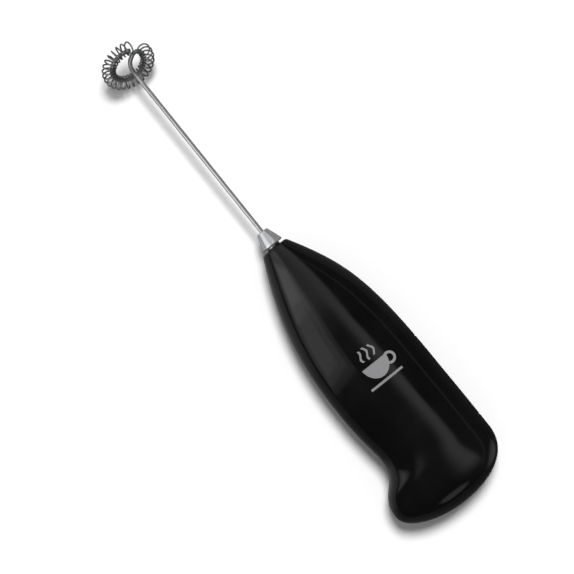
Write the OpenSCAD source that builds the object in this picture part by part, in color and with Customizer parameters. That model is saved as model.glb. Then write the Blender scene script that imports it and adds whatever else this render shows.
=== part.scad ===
// Battery milk frother: a hook-ended handle with a motor, two cells and a spinning whisk.
// It lies on its flat back. +X runs along the spin axis towards the hook, +Z out of the front face.

/* [Handle] */
// Nose face to the tip of the hook
body_length = 117.4; // [100:0.1:140]
// Radius where the nose starts to widen
nose_r = 5.85; // [5:0.05:8]
// Radius of the flat nose face
nose_face_r = 4.1; // [3.6:0.05:5]
// Straight shoulder of the convex edge, from the spin axis
convex_side = 20.6; // [16:0.1:26]
// Depth of the concave edge at its waist, from the spin axis
waist_side = 20.1; // [16:0.1:26]
// Depth of the concave edge at the finger dip, from the spin axis
dip_side = 18.4; // [15:0.1:24]
// Depth of the hook, from the spin axis
hook_side = 27.4; // [20:0.1:34]
// Height of the front face above the spin axis
crown = 12.4; // [11:0.1:16]
// Height of the spin axis above the flat back
axis_height = 12.4; // [11.5:0.1:16]
// Extra roundness of the back beyond its flat
back_swell = 0.5; // [0.2:0.05:1]
// Wall of the two shells
wall = 2.3; // [1.8:0.1:3]
// Thickness of the nose wall
nose_wall = 2.4; // [1.6:0.1:4]

/* [Motor] */
// Nose face to the front of the motor
motor_x = 17; // [14:0.1:22]
// Length of the motor can
can_length = 20.5; // [18:0.1:24]
// Diameter of the motor can
can_d = 20; // [18:0.1:24]
// Distance between the flats of the can
can_flats = 15; // [13:0.1:18]
// Sheet of the can
can_wall = 0.8; // [0.6:0.1:1.2]
// Length of the plastic end cap
cap_length = 4.5; // [3:0.1:6]
// Diameter of the motor shaft
shaft_d = 2; // [1.5:0.1:3]
// Outer diameter of the armature
armature_d = 12; // [10:0.1:13]

/* [Cells and contacts] */
// Diameter of a cell
cell_d = 14.5; // [10:0.1:16]
// Length of a cell with its button
cell_length = 50.5; // [44:0.1:52]
// Distance between the two cell axes
cell_pitch = 15; // [11:0.1:17]
// Offset of the cell pair towards the concave side
cell_shift = 0.9; // [0:0.1:3]
// Gap between the motor and the cell bay
bay_gap = 3; // [2.5:0.1:6]
// Worked length of a contact spring
spring_length = 3.5; // [2.5:0.1:5]
// Thickness of the contact plates
plate_t = 0.5; // [0.3:0.05:0.8]

/* [Press bar] */
// Nose face to the front end of the press bar
bar_x = 58; // [52:0.1:70]
// Length of the press bar
bar_length = 37.2; // [20:0.1:45]
// Width of the press bar
bar_width = 7.8; // [6:0.1:9]
// Travel of the press bar
bar_travel = 1.2; // [0.6:0.1:1.6]
// Gap round the press bar
bar_gap = 0.25; // [0.15:0.05:0.5]

/* [Battery door] */
// Reach of the door ahead of the cell bay
door_front_lap = 3; // [2:0.1:6]
// Distance the door stops short of the bay's rear
door_rear_short = 1; // [0:0.1:3]
// Reach of the door beyond the cells on each side
door_side_lap = 1.45; // [1.3:0.05:3]
// Thickness of the door
door_t = 1.5; // [1.2:0.1:2]
// Gap round the door
door_gap = 0.2; // [0.1:0.05:0.4]
// Height of the door's outside above the flat back
door_recess = 0.2; // [0.1:0.05:0.5]

/* [Coupling and cone] */
// Length of the cone ahead of the nose face
cone_length = 7.4; // [5:0.1:10]
// Radius of the cone's front
cone_front_r = 2.4; // [1.8:0.05:3]
// Radius of the cone's rim
cone_rim_r = 4.4; // [3.5:0.05:6]
// Gap between the cone and the nose face
cone_gap = 0.9; // [0.5:0.05:2]
// Radius of the neck
neck_r = 2.7; // [2.2:0.05:3.4]
// Radial gap between the neck and the nose bore
neck_gap = 0.4; // [0.2:0.05:1]

/* [Whisk] */
// Nose face to the centre of the whisk ring
whisk_reach = 86.4; // [60:0.1:110]
// Diameter of the whisk wire
wire_d = 1.65; // [1.2:0.05:2.2]
// Radius of the ring's centre line
ring_r = 6.8; // [5:0.1:9]
// Lean of the ring
ring_lean = 38; // [0:1:45]
// Turn of the arm inside the ring
arm_turn = 51; // [0:1:90]
// Radius of the bend from shaft to arm
bend_r = 4.6; // [3:0.1:6]
// Radius of the bend from arm to ring
curl_r = 1.9; // [1.2:0.1:2.6]
// Diameter of the coil wire
coil_wire_d = 0.6; // [0.4:0.05:0.8]
// Outer radius of the coil
coil_outer_r = 10.75; // [9:0.05:13]
// Turns of the coil
coil_turns = 25; // [20:1:40]

/* [Screws] */
// Radius of the screw shank
screw_r = 1.25; // [1:0.05:1.6]
// Radius of the screw head
head_r = 2.3; // [2:0.05:3]
// Distance of the front pair of screws ahead of the motor's rear
screw_ahead = 6; // [5:0.1:8]
// Distance of the front screws from the side of the motor
screw_side = 3.7; // [3.5:0.1:4.2]
// Distance of the rear pair of screws behind the cell bay
screw_behind = 6; // [5:0.1:8]

/* [Hidden] */
$fn = 48;
rest_x = 37;
dip_x = 0.7286 * body_length;
hook_x = 0.906 * body_length;
tail_x = 0.86 * body_length;
tip_y = -4;
nose_x = 0.9;
end_wall = 1.5;
axis_z = axis_height;
back_crown = axis_height + back_swell;
cell_can = cell_length - 1;
motor_end = motor_x + can_length + cap_length;
bay_x = motor_end + bay_gap;
bay_length = cell_length + spring_length + 2 * plate_t;
bay_end = bay_x + bay_length;
door_x = bay_x - door_front_lap;
door_length = bay_length + door_front_lap - door_rear_short;
door_width = cell_pitch + cell_d + 2 * door_side_lap;
screw_x = motor_end - screw_ahead;
screw_y = can_d / 2 + screw_side;
rear_screw_x = bay_end + screw_behind;
cell_a = cell_pitch / 2 - cell_shift;
cell_b = -cell_pitch / 2 - cell_shift;
cell_r = cell_d / 2;
bore_r = neck_r + neck_gap;
slip = 0.03;
seat_gap = 0.1;
bar_end = bar_x + bar_length;
ledge = 1.1;
rim = ledge + 0.3;
ear = 1.6;
ear_t = 1;
bar_in = convex_side - wall - ear_t - 0.85;
leaf_x = 0.5 * (bar_x + bar_end);
leaf_floor = cell_a + cell_r + 0.25;
leaf_t = 0.3;
leaf_width = 4;
bar_hollow = 0.8;
leaf_rise = bar_in + bar_hollow - leaf_floor - 0.06;
ring_wire = wire_d / 2;
coil_wire = coil_wire_d / 2;
coil_loop_r = (coil_outer_r - coil_wire - (ring_r - ring_wire - coil_wire - slip)) / 2;
coil_mid_r = coil_outer_r - coil_wire - coil_loop_r;

// Outline and sections of the handle
function lerp(a, b, t) = a + (b - a) * t;
function bez(s, t) = pow(1 - t, 3) * s[0] + 3 * pow(1 - t, 2) * t * s[1]
  + 3 * (1 - t) * t * t * s[2] + pow(t, 3) * s[3];
function solve(s, x, lo, hi, n) = n == 0 ? (lo + hi) / 2
  : bez(s, (lo + hi) / 2)[0] < x ? solve(s, x, (lo + hi) / 2, hi, n - 1)
  : solve(s, x, lo, (lo + hi) / 2, n - 1);
function edge(segs, x) = let (
    k = [for (i = [0 : len(segs) - 1]) if (x <= segs[i][3][0] || i == len(segs) - 1) i][0]
  ) bez(segs[k], solve(segs[k], x, 0, 1, 20))[1];
function polar(r, a) = [r * cos(a), r * sin(a)];
function nose_curve(a) = [[0, nose_face_r], [0, nose_face_r + 1.1],
  [nose_x, nose_r] - polar(0.5, a), [nose_x, nose_r]];

convex_edge = [
  nose_curve(29.2),
  [[nose_x, nose_r], [nose_x, nose_r] + polar(0.193 * body_length, 29.2),
    [0.26 * body_length, convex_side - 0.3], [0.596 * body_length, convex_side]],
  [[0.596 * body_length, convex_side], [0.638 * body_length, convex_side],
    [0.688 * body_length, convex_side + 0.3], [tail_x, convex_side + 0.27]],
  [[tail_x, convex_side + 0.27], [tail_x + 0.94 * (body_length - tail_x), convex_side + 0.27],
    [body_length, tip_y + 6], [body_length, tip_y]]];
concave_edge = [
  nose_curve(25.8),
  [[nose_x, nose_r], [nose_x, nose_r] + polar(0.242 * body_length, 26.4),
    [0.38 * body_length, waist_side], [0.541 * body_length, waist_side]],
  [[0.541 * body_length, waist_side], [0.64 * body_length, waist_side],
    [dip_x - 2, dip_side], [dip_x, dip_side]],
  [[dip_x, dip_side], [dip_x + 0.6 * (hook_x - dip_x), dip_side],
    [dip_x + 0.44 * (hook_x - dip_x), hook_side], [hook_x, hook_side]],
  [[hook_x, hook_side], [hook_x + 0.5 * (body_length - hook_x), hook_side],
    [body_length, -tip_y + 12], [body_length, -tip_y]]];
function side_edge(top) = [
  nose_curve(27),
  [[nose_x, nose_r], [nose_x, nose_r] + polar(0.091 * body_length, 28),
    [0.182 * body_length, top], [0.364 * body_length, top]],
  [[0.364 * body_length, top], [0.506 * body_length, top],
    [0.708 * body_length, top], [0.83 * body_length, top]],
  [[0.83 * body_length, top], [0.946 * body_length, top],
    [body_length, 0.55 * top], [body_length, 0]]];
front_edge = side_edge(crown);
back_edge = side_edge(back_crown);

// Half width, centre, front height and back height at x
function half_width(x) = (edge(convex_edge, x) + edge(concave_edge, x)) / 2;
function centre_y(x) = (edge(convex_edge, x) - edge(concave_edge, x)) / 2;
function ease(x) = min(1, max(0, x / 45));
function taper(x, size, full) = x > tail_x ? size / full : 1;
function power(v, p) = sign(v) * pow(abs(v), p);
function ring(x, inset, n, from, to) = let (
    w = max(half_width(x) - inset * min(1, taper(x, half_width(x), half_width(tail_x))), 0),
    f = edge(front_edge, x) - inset * taper(x, edge(front_edge, x), crown),
    b = edge(back_edge, x) - inset * taper(x, edge(back_edge, x), back_crown),
    place = x > tail_x ? x - inset * (x - tail_x) / (body_length - tail_x) : x,
    front_p = 2 + 0.3 * ease(x),
    back_p = 2 + 1.2 * ease(x)
  ) [for (i = [0 : n]) let (
      a = lerp(from, to, i / n),
      p = sin(a) >= 0 ? front_p : back_p,
      h = sin(a) >= 0 ? f : b
    ) [place, centre_y(x) + w * power(cos(a), 2 / p), h * power(sin(a), 2 / p)]];

nose_steps = [0, 0.12, 0.4, nose_x, 1.8, 3.2];
function stations(first, mid, tail) = [
  for (x = nose_steps) if (x >= first) x,
  for (i = [1 : mid]) lerp(max(first, 3.2), tail_x, i / mid),
  for (i = [1 : tail]) lerp(tail_x, body_length, sin(90 * i / tail))];

module skin(rings) {
  n = len(rings[0]);
  m = len(rings);
  sides = [for (i = [0 : m - 2], j = [0 : n - 1]) let (
      a = i * n + j,
      b = i * n + (j + 1) % n
    ) each [[a, b + n, b], [a, a + n, b + n]]];
  polyhedron(
    points = [for (r = rings) each r],
    faces = concat(sides, [[for (j = [0 : n - 1]) j]], [[for (j = [n - 1 : -1 : 0]) (m - 1) * n + j]]),
    convexity = 6);
}

// The last ring is kept a hair wide so that both ends are plain faces
function shrunk(x) = min(x, body_length - 0.02);
module half_body(inset, front) {
  xs = stations(0, 22, 12);
  skin([for (x = xs) ring(shrunk(x), inset, 18, front ? 0 : 180, front ? 180 : 360)]);
}
module core_body(inset, first) {
  xs = concat([first], [for (x = stations(first + 0.5, 18, 9)) x]);
  skin([for (x = xs) let (r = ring(shrunk(x), inset, 24, 0, 360)) [for (i = [0 : 23]) r[i]]]);
}

module place() {
  translate([-rest_x, 0, axis_z]) children();
}
module along_x() {
  rotate([0, 90, 0]) children();
}
module rod(x0, x1, r, y = 0, z = 0) {
  translate([x0, y, z]) along_x() cylinder(r = r, h = x1 - x0);
}
module slab(x0, x1, y0, y1, z0, z1) {
  translate([x0, y0, z0]) cube([x1 - x0, y1 - y0, z1 - z0]);
}
module prism(x0, length, width, y, r, z0, z1) {
  translate([x0 + length / 2, y, z0]) linear_extrude(z1 - z0)
    union() {
      square([length - 2 * r, width], center = true);
      square([length, width - 2 * r], center = true);
      for (sx = [-1, 1], sy = [-1, 1])
        translate([sx * (length / 2 - r), sy * (width / 2 - r)]) circle(r = r);
    }
}

// Swept round wire through a list of points; loops in the wire keep their own frames
function unit(v) = v / norm(v);
module wire(pts, r, sides, hint) {
  n = len(pts);
  dirs = [for (i = [0 : n - 1]) unit(pts[min(i + 1, n - 1)] - pts[max(i - 1, 0)])];
  rings = [for (i = [0 : n - 1]) let (
      u = unit(cross(dirs[i], hint[min(i, len(hint) - 1)])),
      v = cross(dirs[i], u)
    ) [for (k = [0 : sides - 1]) pts[i] + r * (cos(360 * k / sides) * u + sin(360 * k / sides) * v)]];
  skin(rings);
}
function path(segs, n) = [segs[0][0], for (s = segs, i = [1 : n]) bez(s, i / n)];

// Places of the four screws
screw_places = [[screw_x, screw_y], [screw_x, -screw_y + 0.3],
  [rear_screw_x, convex_side - 8.6], [rear_screw_x, -hook_side + 8.6]];
seat_z = -4.4;
module at_screws() {
  for (s = screw_places) translate([s[0], s[1], 0]) children();
}

// Ribs that stop and cradle the motor and close the cell bay
module motor_outline(gap) {
  intersection() {
    circle(r = can_d / 2 + gap, $fn = 96);
    square([can_flats + 2 * gap, 2 * can_d], center = true);
  }
}
module ribs(front) {
  side = front ? 1 : -1;
  z0 = front ? 0 : -axis_height;
  z1 = front ? crown : 0;
  for (x = [motor_x - 1.8, motor_x + 4.5, motor_x + can_length - 3.5])
    slab(x, x + 1.6, -20, 20, z0, z1);
  slab(bay_x - 1.5, bay_x, -21, 21, z0, z1);
  slab(bay_end, bay_end + end_wall, -27, 21, z0, z1);
}
module rib_cuts() {
  translate([motor_x - slip, 0, 0]) along_x() linear_extrude(can_length + cap_length + 2 * slip)
    motor_outline(slip);
  rod(motor_x - 3, motor_x + 1, 3.2);
  for (y = [cell_a, cell_b]) rod(bay_x - 2, bay_x + 1, 4, y);
  slab(bay_x - 2, bay_x + 1, -18.5, -15.9, -3, 3);
  slab(bay_x - 2, bay_x + 1, 14.4, 16.6, -3, 3);
}
module bar_window(gap) {
  slab(bar_x - gap, bar_end + gap, bar_in - 2.5, convex_side + 3, -bar_width / 2 - gap, bar_width / 2 + gap);
}

module front_shell() {
  color("#101114") place() difference() {
    union() {
      difference() {
        half_body(0, true);
        core_body(wall, nose_wall);
      }
      intersection() {
        half_body(wall / 2, true);
        union() {
          ribs(true);
          at_screws() cylinder(r = 2.9, h = crown);
        }
      }
    }
    rib_cuts();
    rod(-1, nose_wall + 1, bore_r);
    bar_window(bar_gap);
    at_screws() translate([0, 0, -1]) cylinder(r = screw_r, h = 7);
  }
}
module door_prism(gap) {
  prism(door_x - gap, door_length + 2 * gap, door_width + 2 * gap, -cell_shift, 4 + gap,
    -axis_height - 3, -5 + gap);
}
module back_shell() {
  color("#0e0f12") place() difference() {
    union() {
      difference() {
        half_body(0, false);
        core_body(wall, nose_wall);
      }
      difference() {
        intersection() {
          half_body(wall / 2, false);
          union() {
            ribs(false);
            at_screws() translate([0, 0, -axis_height]) cylinder(r = 3.5, h = axis_height);
          }
        }
        prism(bay_x, bay_length, door_width - 2 * ledge + 0.4, -cell_shift, 1, -axis_height, -2);
      }
    }
    rib_cuts();
    rod(-1, nose_wall + 1, bore_r);
    bar_window(bar_gap);
    at_screws() translate([0, 0, -7]) cylinder(r = screw_r + seat_gap, h = 8);
    at_screws() translate([0, 0, -axis_height - 1]) cylinder(r = head_r + 0.2, h = axis_height + 1 + seat_z);
    difference() {
      door_prism(door_gap);
      core_body(door_t + door_gap, nose_wall);
    }
    prism(door_x + ledge, door_length - 2 * ledge, door_width - 2 * ledge, -cell_shift, 3,
      -axis_height - 3, -7);
    slab(0, body_length, -40, 40, -axis_height - 3, -axis_height);
  }
}
module battery_door() {
  color("#131417") place() difference() {
    union() {
      difference() {
        intersection() {
          half_body(0, false);
          door_prism(0);
        }
        core_body(door_t, nose_wall);
      }
      difference() {
        prism(door_x + rim, door_length - 2 * rim, door_width - 2 * rim, -cell_shift, 2.7,
          -axis_height + 0.8, -9.6);
        prism(door_x + rim + 1, door_length - 2 * rim - 2, door_width - 2 * rim - 2, -cell_shift, 1.7,
          -axis_height, -9);
        slab(bay_x - 1.8, bay_x + plate_t + 0.4, -21, 21, -axis_height, -9);
      }
    }
    slab(0, body_length, -40, 40, -axis_height - 3, -axis_height + door_recess);
    translate([door_x + 5.5, -cell_shift, -axis_height - 3.1]) sphere(r = 4.2, $fn = 48);
    for (i = [0 : 4]) translate([door_x + 11 + 2 * i, -cell_shift, -axis_height - 0.05])
      rotate([90, 0, 0]) cylinder(r = 0.55, h = 14, center = true, $fn = 24);
  }
}
module shell_screws() {
  color("#b9bcc1") place() at_screws() translate([0, 0, seat_z]) difference() {
    union() {
      cylinder(r = screw_r, h = 9.9);
      translate([0, 0, -1.6]) cylinder(r = head_r, h = 1.6);
    }
    for (a = [0, 90]) rotate(a) translate([0, 0, -1.6]) cube([2.6, 0.6, 1.8], center = true);
  }
}
module press_bar() {
  color("#15161a") place() difference() {
    union() {
      intersection() {
        bar_body();
        slab(bar_x, bar_end, bar_in, convex_side + 3, -bar_width / 2, bar_width / 2);
      }
      slab(bar_x - ear, bar_end + ear, bar_in, bar_in + ear_t, -2.6, 2.6);
    }
    slab(bar_x + 1.5, bar_end - 1.5, bar_in - 1, bar_in + bar_hollow, -leaf_width / 2 - 0.4, leaf_width / 2 + 0.4);
  }
}
module bar_body() {
  xs = [for (x = stations(0, 22, 12)) if (x > bar_x - 8 && x <= tail_x) x];
  skin([for (x = xs) let (r = ring(x, 0, 36, 0, 360)) [for (i = [0 : 35]) r[i]]]);
}
module switch_leaf() {
  fold = [-13, 0.9];
  function bow(r) = [for (i = [0 : 16]) fold + polar(r, 90 + 180 * i / 16)];
  inner = bow(0.9 - leaf_t);
  color("#c9a45a") place() translate([leaf_x, leaf_floor, -leaf_width / 2]) linear_extrude(leaf_width)
    polygon(concat(
      [[9, leaf_rise]],
      bow(0.9),
      [[-4, 0], [-4, leaf_t]],
      [for (i = [16 : -1 : 0]) inner[i]],
      [[9, leaf_rise - leaf_t]]));
}
module switch_contact() {
  color("#c9a45a") place() translate([leaf_x, leaf_floor, -leaf_width / 2]) linear_extrude(leaf_width) union() {
    square([14, leaf_t]);
    translate([6, leaf_t]) circle(r = 0.3, $fn = 24);
  }
}

// Motor
module motor_can() {
  color("#aeb2b8") place() difference() {
    union() {
      translate([motor_x, 0, 0]) along_x() linear_extrude(can_length) motor_outline(0);
      rod(motor_x - 1.5, motor_x + 1, 3);
    }
    translate([motor_x + can_wall, 0, 0]) along_x() linear_extrude(can_length) motor_outline(-can_wall);
    rod(motor_x - 2, motor_x + 2, 2.2);
  }
}
module motor_end_cap() {
  color("#e6e3da") place() difference() {
    translate([motor_x + can_length, 0, 0]) along_x() linear_extrude(cap_length) motor_outline(0);
    rod(motor_x + can_length - 1, motor_end - 1.5, 5.2);
    rod(motor_end - 2, motor_end + 1, 2.2);
    for (s = [-1, 1]) slab(motor_end - 2, motor_end + 1, s * 6 - 1.2, s * 6 + 1.2, -0.6, 0.6);
    for (s = [-1, 1]) slab(motor_x + can_length - 1, motor_end - 1.4, s * 6 - 1.6, s * 6 + 1.6, -1.4, 1.4);
  }
}
module motor_magnets() {
  r1 = can_d / 2 - can_wall;
  color("#3b3d42") place() for (s = [0, 180]) rotate([s, 0, 0])
    translate([motor_x + 2, 0, 0]) along_x() rotate(90 - 40)
      rotate_extrude(angle = 80, $fn = 96) translate([armature_d / 2 + 0.5, 0])
        square([r1 - armature_d / 2 - 0.5, can_length - 4]);
}
module motor_bushes() {
  color("#c08a4a") place() {
    difference() {
      rod(motor_x - 1.5, motor_x + can_wall + 0.6, 2.2);
      rod(motor_x - 2, motor_x + 3, shaft_d / 2 + slip);
    }
    difference() {
      rod(motor_end - 1.5, motor_end, 2.2);
      rod(motor_end - 2, motor_end + 1, shaft_d / 2 + slip);
    }
  }
}
module motor_brushes() {
  color("#d18b52") place() for (s = [-1, 1]) {
    slab(motor_x + can_length + 0.6, motor_end - 1.55, s * 2.75 - 0.2, s * 2.75 + 0.2, -1, 1);
    slab(motor_end - 1.9, motor_end - 1.55, min(s * 2.75, s * 6.2), max(s * 2.75, s * 6.2), -0.6, 0.6);
    slab(motor_end - 1.9, motor_end + 2, s * 6 - 0.2, s * 6 + 0.2, -0.6, 0.6);
  }
}
module motor_shaft() {
  color("#d8dade") place() rod(3.2, motor_end - 0.2, shaft_d / 2);
}
module armature_core() {
  color("#6e7278") place() translate([motor_x + 4, 0, 0]) along_x()
    linear_extrude(can_length - 8) difference() {
      union() {
        circle(r = 2.6);
        for (a = [0, 120, 240]) rotate(a) {
          translate([0, -0.9]) square([armature_d / 2 - 0.6, 1.8]);
          intersection() {
            difference() {
              circle(r = armature_d / 2, $fn = 96);
              circle(r = armature_d / 2 - 1, $fn = 96);
            }
            translate([0, -4.2]) square([armature_d, 8.4]);
          }
        }
      }
      circle(r = shaft_d / 2);
    }
}
module armature_windings() {
  coil_side = sqrt(pow(armature_d / 2 - 1.1, 2) - 4);
  color("#b5642f") place() for (a = [0, 120, 240]) rotate([a, 0, 0])
    translate([motor_x + 3.2, 0, 0]) along_x() difference() {
      translate([2.8, -2, 0]) cube([coil_side - 2.8, 4, can_length - 6.4]);
      translate([2, -0.92, 0.78]) cube([6, 1.84, can_length - 7.96]);
    }
}
module commutator() {
  color("#c98f4e") place() difference() {
    rod(motor_x + can_length - 2.6, motor_end - 1.7, 2.5);
    rod(motor_x, motor_end, shaft_d / 2);
    for (a = [60, 180, 300]) rotate([a, 0, 0])
      slab(motor_x + can_length - 3, motor_end, 1.8, 3, -0.15, 0.15);
  }
}

// Cells and contacts
module cells() {
  translate([bay_x + plate_t, cell_a, 0]) children();
  translate([bay_end - plate_t, cell_b, 0]) rotate([0, 180, 0]) children();
}
module cell_cores() {
  color("#c3c6ca") place() cells() {
    rod(1, 1 + cell_can, cell_r - 0.3);
    rod(0, 1.2, 2.75);
  }
}
module cell_sleeves() {
  color("#2c5a8c") place() cells() difference() {
    rod(1.2, cell_can + 0.8, cell_r);
    rod(0, cell_can + 3, cell_r - 0.3);
  }
}
module contact_springs() {
  turns = 3;
  n = 16 * turns;
  color("#c8ccd0") place() cells() {
    pts = [for (i = [0 : n]) [1 + cell_can + 0.3 + (spring_length - 0.6) * i / n,
      lerp(2.4, 3.6, i / n) * cos(360 * turns * i / n), lerp(2.4, 3.6, i / n) * sin(360 * turns * i / n)]];
    wire(pts, 0.3, 6, [[1, 0, 0]]);
  }
}
module front_plates() {
  color("#b9bdc2") place() {
    slab(bay_x, bay_x + plate_t, cell_a - 5, cell_a + 5, -5.5, 5.5);
    slab(bay_x, bay_x + plate_t, cell_b - 5, cell_b + 5, -5.5, 5.5);
  }
}
module rear_link() {
  color("#b9bdc2") place() slab(bay_end - plate_t, bay_end, cell_b - 5, cell_a + 5, -5.5, 5.5);
}
lead_x = (motor_end + bay_x - 1.5) / 2;
module wire_positive() {
  low = cell_a + cell_r + 0.65;
  color("#b3201d") place() wire(path([
    [[lead_x, 6.75, 0], [lead_x, 9, 0], [lead_x, 11, 0], [lead_x, 13, 0]],
    [[lead_x, 13, 0], [lead_x, 15, 0], [bay_x - 2, 15.4, 0], [bay_x + 1.5, 15.4, 0]],
    [[bay_x + 1.5, 15.4, 0], [bay_x + 5, 15.4, 0], [bar_x - ear - 4, low, 0], [bar_x - ear - 0.5, low, 0]],
    [[bar_x - ear - 0.5, low, 0], [bar_x, low, 0], [bar_x + 1, low, 0], [leaf_x - 13.9, low, 0]]],
    8), 0.5, 8, [[0, 0, 1]]);
}
module wire_negative() {
  color("#1c1d20") place() wire(path([
    [[lead_x, -6.75, 0], [lead_x, -8, 0.6], [lead_x + 0.1, -9, 1.4], [bay_x - 0.4, -9.3, 2.2]]],
    14), 0.5, 8, [[0, 0.5, 1]]);
}

// Coupling and whisk
module coupling_hub() {
  color("#dcdee0") place() difference() {
    union() {
      rod(-cone_length + 0.3, -cone_gap - 1, 1.9);
      rod(-cone_gap - 1.6, motor_x - 5, neck_r);
    }
    rod(-cone_length, 1.2, ring_wire);
    rod(3.2, motor_x, shaft_d / 2);
  }
}
module whisk_cone() {
  rim_x = -cone_gap;
  color("#c9ccd1") place() along_x() rotate_extrude($fn = 96) polygon([
    [1.9, -cone_length], [cone_front_r - 0.4, -cone_length], [cone_front_r - 0.12, -cone_length + 0.12],
    [cone_front_r, -cone_length + 0.4], [cone_rim_r, rim_x - 0.5], [cone_rim_r - 0.06, rim_x - 0.25],
    [cone_rim_r - 0.3, rim_x - 0.08], [cone_rim_r - 0.6, rim_x], [neck_r, rim_x - 0.3],
    [neck_r, rim_x - 1.6], [1.9, rim_x - 1.6]]);
}

// The whisk ring leans: its top points away from the handle
ring_top = [-sin(ring_lean), 0, cos(ring_lean)];
ring_normal = [-cos(ring_lean), 0, -sin(ring_lean)];
ring_centre = [-whisk_reach, 0, 0];
function in_ring(p, turn) = let (a = p[0] * cos(turn) - p[1] * sin(turn), b = p[0] * sin(turn) + p[1] * cos(turn))
  ring_centre + a * ring_top + [0, b, 0] + (len(p) > 2 ? p[2] * ring_normal : [0, 0, 0]);
arm_dir = in_ring([1, 0], arm_turn) - ring_centre;
bend_side = unit([0, arm_dir[1], arm_dir[2]]);
bend_angle = acos(-arm_dir[0]);
tangent = bend_r * tan(bend_angle / 2);
curl_s = sqrt(pow(ring_r - curl_r, 2) - pow(curl_r, 2));
curl_turn = atan(curl_r / curl_s);
ring_sweep = 322;
module whisk_shaft() {
  bend_centre = ring_centre + [tangent, 0, 0] + bend_r * bend_side;
  pts = concat(
    [[1.2, 0, 0], [-cone_length, 0, 0], [-whisk_reach / 2, 0, 0]],
    [for (i = [0 : 10]) let (t = bend_angle * i / 10)
      bend_centre - bend_r * (cos(t) * bend_side + sin(t) * [1, 0, 0])],
    [for (i = [0 : 14]) in_ring([curl_s, curl_r] + polar(curl_r, lerp(-90, curl_turn, i / 14)), arm_turn)],
    [for (i = [1 : 64]) in_ring(polar(ring_r, curl_turn + ring_sweep * i / 64), arm_turn)]);
  color("#a9adb3") place() wire(pts, ring_wire, 16, [ring_normal]);
}
module whisk_coil() {
  per_turn = 12;
  n = coil_turns * per_turn;
  turns = [for (i = [0 : n]) arm_turn + curl_turn + 1 + ring_sweep * i / n];
  pts = [for (i = [0 : n]) let (b = 360 * i / per_turn)
    in_ring([coil_mid_r - coil_loop_r * cos(b), 0, coil_loop_r * sin(b)], turns[i])];
  hints = [for (a = turns) in_ring([0, 1], a) - ring_centre];
  color("#8f9399") place() wire(pts, coil_wire, 6, hints);
}

front_shell();
back_shell();
shell_screws();
battery_door();
press_bar();
switch_leaf();
switch_contact();
motor_can();
motor_end_cap();
motor_magnets();
motor_bushes();
motor_brushes();
motor_shaft();
armature_core();
armature_windings();
commutator();
cell_cores();
cell_sleeves();
contact_springs();
front_plates();
rear_link();
wire_positive();
wire_negative();
coupling_hub();
whisk_cone();
whisk_shaft();
whisk_coil();
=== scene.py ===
import math

import bpy
import numpy as np
from mathutils import Matrix, Vector
from mathutils.bvhtree import BVHTree

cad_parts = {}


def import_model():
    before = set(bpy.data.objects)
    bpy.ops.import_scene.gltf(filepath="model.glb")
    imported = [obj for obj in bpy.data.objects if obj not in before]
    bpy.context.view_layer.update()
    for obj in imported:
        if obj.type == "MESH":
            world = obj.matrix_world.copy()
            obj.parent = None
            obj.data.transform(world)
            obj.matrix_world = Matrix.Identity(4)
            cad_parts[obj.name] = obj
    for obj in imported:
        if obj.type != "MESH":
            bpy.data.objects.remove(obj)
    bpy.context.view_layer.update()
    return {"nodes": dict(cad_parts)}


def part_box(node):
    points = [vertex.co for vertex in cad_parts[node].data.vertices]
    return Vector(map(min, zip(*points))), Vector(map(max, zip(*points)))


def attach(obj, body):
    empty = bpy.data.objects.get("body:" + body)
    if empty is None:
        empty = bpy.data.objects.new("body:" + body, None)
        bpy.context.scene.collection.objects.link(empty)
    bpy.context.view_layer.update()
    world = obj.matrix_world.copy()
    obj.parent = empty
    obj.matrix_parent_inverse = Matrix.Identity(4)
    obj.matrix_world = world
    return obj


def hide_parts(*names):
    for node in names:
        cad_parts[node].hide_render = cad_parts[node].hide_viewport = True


# Looks of a battery milk frother that lies on its flat back. The handle is drawn in its own nose frame,
# in millimetres: x runs from the nose face to the hook's tip, y and z start on the spin axis.
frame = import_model()
nodes = frame["nodes"]
MM = 0.001
nose_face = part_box("front_shell")[0].x
cone_low, cone_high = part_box("whisk_cone")
spin_axis_z = (cone_low.z + cone_high.z) / 2

# Handle
LENGTH = (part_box("front_shell")[1].x - nose_face) / MM
NOSE_R = 5.85
NOSE_FACE_R = 4.1
NOSE_X = 0.9
CONVEX = 20.6
WAIST = 20.1
DIP = 18.4
HOOK = 27.4
CROWN = (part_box("front_shell")[1].z - spin_axis_z) / MM
FLAT_BACK = spin_axis_z / MM
BACK_CROWN = FLAT_BACK + 0.5
WALL = 2.3
NOSE_WALL = 2.4
DIP_X = 0.7286 * LENGTH
HOOK_X = 0.906 * LENGTH
TAIL_X = 0.86 * LENGTH
TIP_Y = -4.0
BORE_R = 3.1
SEAM_R = 0.16

# Motor, cells, door and bar
MOTOR_X = 17.0
MOTOR_END = 42.0
CAN_LENGTH = 20.5
CAN_R = 10.0
CAN_FLATS = 15.0
BAY_X = MOTOR_END + 3.0
BAY_LENGTH = 55.0
BAY_END = BAY_X + BAY_LENGTH
MOTOR_RIB_T = 1.6
BAY_RIB_T = 1.5
CELL_SIDES = (6.6, -8.4)
DOOR_X = 42.0
DOOR_LENGTH = 57.0
DOOR_WIDTH = 32.4
DOOR_Y = -0.9
DOOR_R = 4.0
DOOR_T = 1.5
DOOR_GAP = 0.2
DOOR_RECESS = 0.2
MOUTH_R = 0.3
LEDGE = 1.1
RIM = LEDGE + 0.3
BAR_X = 58.0
BAR_LENGTH = 37.2
BAR_WIDTH = 7.8
BAR_GAP = 0.25
BAR_IN = 16.45
EAR = 1.6
EAR_T = 1.0
SCREWS = ((36.0, 13.7), (36.0, -13.4), (BAY_END + 6, CONVEX - 8.6), (BAY_END + 6, -HOOK + 8.6))
SCREW_R = 1.25
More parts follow.
